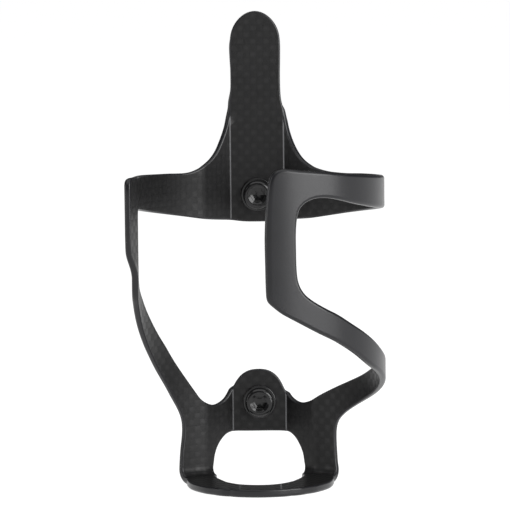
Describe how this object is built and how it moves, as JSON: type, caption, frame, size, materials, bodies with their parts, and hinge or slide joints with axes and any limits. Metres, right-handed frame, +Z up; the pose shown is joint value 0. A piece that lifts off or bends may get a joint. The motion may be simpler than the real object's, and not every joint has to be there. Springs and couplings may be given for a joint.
{
  "type": "bicycle water bottle cage",
  "caption": "Side-entry bicycle bottle cage: a one-piece carbon-laminate shell with a tongue, wrap-round straps and a bottle shelf, with its frame bolts and washers.",
  "frame": {"origin": "on the rear mounting face, midway between the two bolts", "axes": "+Z up along the bottle, +Y out of the rear mounting face towards the bicycle tube, +X to the right seen from the bottle side"},
  "size_m": [0.0771, 0.0896, 0.1437],
  "materials": {
    "laminate": "satin",
    "bolt_steel": "satin"
  },
  "bodies": {
    "cage": {"cage_body": "laminate"},
    "upper_washer": {"upper_washer": "bolt_steel"},
    "upper_bolt": {"upper_bolt": "bolt_steel"},
    "lower_washer": {"lower_washer": "bolt_steel"},
    "lower_bolt": {"lower_bolt": "bolt_steel"}
  },
  "joints": [
    {"name": "upper_travel", "type": "slide", "parent": "cage", "child": "upper_washer", "axis": [0, -1, 0], "range_m": [0, 0.0096]},
    {"name": "upper_turn", "type": "hinge", "parent": "upper_washer", "child": "upper_bolt", "pos_m": [0, 0, 0.032], "axis": [0, -1, 0], "range_deg": [0, 4320]},
    {"name": "lower_travel", "type": "slide", "parent": "cage", "child": "lower_washer", "axis": [0, -1, 0], "range_m": [0, 0.0096]},
    {"name": "lower_turn", "type": "hinge", "parent": "lower_washer", "child": "lower_bolt", "pos_m": [0, 0, -0.032], "axis": [0, -1, 0], "range_deg": [0, 4320]}
  ],
  "couplings": [
    {"joint": "upper_turn", "follows": "upper_travel", "rad_per_m": 7854},
    {"joint": "lower_turn", "follows": "lower_travel", "rad_per_m": 7854}
  ]
}
